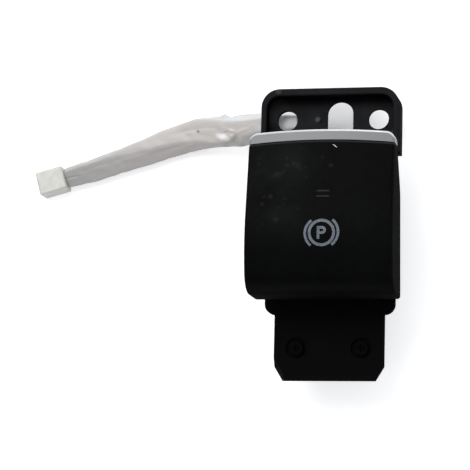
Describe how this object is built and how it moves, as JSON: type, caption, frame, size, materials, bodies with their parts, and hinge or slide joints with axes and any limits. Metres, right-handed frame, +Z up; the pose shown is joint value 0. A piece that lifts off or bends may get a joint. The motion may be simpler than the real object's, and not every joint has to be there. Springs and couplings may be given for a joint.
{
  "type": "electric parking brake switch",
  "caption": "Wide rocking paddle with a bright lip on a mounting frame with a screw tray and a tongue, a switch housing beneath and a short white lead with a plug.",
  "frame": {"origin": "on the surface the switch stands on, under the middle of its length and width, lead left out", "axes": "+X across the paddle, +Y from the palm side towards the bright lip and the screw tray, +Z up out of the console"},
  "size_m": [0.1493, 0.11, 0.0542],
  "materials": {
    "black_grip_plastic": "black, soft semi-matt moulding with a light haze",
    "black_frame_plastic": "black fine-grained moulding",
    "dark_inner_plastic": "dark grey moulding",
    "satin_trim": "plastic with a satin metallic coat",
    "symbol_white": "bluish white translucent inlay",
    "smoked_lens": "dark smoked lens",
    "clear_guide": "clear light guide",
    "steel": "bright zinc plated steel",
    "spring_steel": "drawn spring wire",
    "stop_rubber": "black rubber",
    "white_sleeve": "white soft sleeve with creases",
    "white_nylon": "natural white nylon",
    "tin_contacts": "tinned contacts",
    "board_green": "green circuit board",
    "led_white": "small surface lights",
    "chip_black": "black chip cases",
    "switch_grey": "dark switch cases",
    "plunger_white": "white acetal",
    "wire_grey": "bundle of insulated wires"
  },
  "bodies": {
    "base": {"mounting_frame": "black_frame_plastic", "hinge_pin": "steel", "stop_pads": "stop_rubber", "switch_housing": "dark_inner_plastic", "housing_cover": "dark_inner_plastic", "circuit_board": "board_green", "status_leds": "led_white", "board_chips": "chip_black", "board_header": "white_nylon", "tongue_screws": "steel", "deck_screws": "steel", "board_screws": "steel", "lead_grommet": "stop_rubber", "inner_wires": "wire_grey", "lead": "white_sleeve", "lead_plug": "white_nylon", "plug_contacts": "tin_contacts", "microswitch_front_left": "switch_grey", "plunger_spring_front_left": "spring_steel", "microswitch_front_right": "switch_grey", "plunger_spring_front_right": "spring_steel", "microswitch_rear_left": "switch_grey", "plunger_spring_rear_left": "spring_steel", "microswitch_rear_right": "switch_grey", "plunger_spring_rear_right": "spring_steel"},
    "paddle": {"paddle_cover": "black_grip_plastic", "front_trim": "satin_trim", "paddle_carrier": "dark_inner_plastic", "carrier_screws": "steel", "parking_symbol": "symbol_white", "indicator_lens": "smoked_lens", "light_guide": "clear_guide", "grip_panel": "black_frame_plastic"},
    "plunger_front_left": {"plunger_front_left": "plunger_white"},
    "plunger_front_right": {"plunger_front_right": "plunger_white"},
    "plunger_rear_left": {"plunger_rear_left": "plunger_white"},
    "plunger_rear_right": {"plunger_rear_right": "plunger_white"}
  },
  "joints": [
    {"name": "paddle_hinge", "type": "hinge", "parent": "base", "child": "paddle", "pos_m": [0, -0.008, 0.033], "axis": [1, 0, 0], "range_deg": [-4, 6], "stiffness_Nm_per_rad": 1.5},
    {"name": "plunger_slide_front_left", "type": "slide", "parent": "base", "child": "plunger_front_left", "axis": [0, 0, 1], "range_m": [-0.0006, 0.0009], "deforming": ["plunger_spring_front_left"]},
    {"name": "plunger_slide_front_right", "type": "slide", "parent": "base", "child": "plunger_front_right", "axis": [0, 0, 1], "range_m": [-0.0006, 0.0009], "deforming": ["plunger_spring_front_right"]},
    {"name": "plunger_slide_rear_left", "type": "slide", "parent": "base", "child": "plunger_rear_left", "axis": [0, 0, 1], "range_m": [-0.0009, 0.0006], "deforming": ["plunger_spring_rear_left"]},
    {"name": "plunger_slide_rear_right", "type": "slide", "parent": "base", "child": "plunger_rear_right", "axis": [0, 0, 1], "range_m": [-0.0009, 0.0006], "deforming": ["plunger_spring_rear_right"]}
  ],
  "couplings": [
    {"joint": "plunger_slide_front_left", "follows": "paddle_hinge", "m_per_rad": 0.008},
    {"joint": "plunger_slide_front_right", "follows": "paddle_hinge", "m_per_rad": 0.008},
    {"joint": "plunger_slide_rear_left", "follows": "paddle_hinge", "m_per_rad": -0.008},
    {"joint": "plunger_slide_rear_right", "follows": "paddle_hinge", "m_per_rad": -0.008}
  ]
}
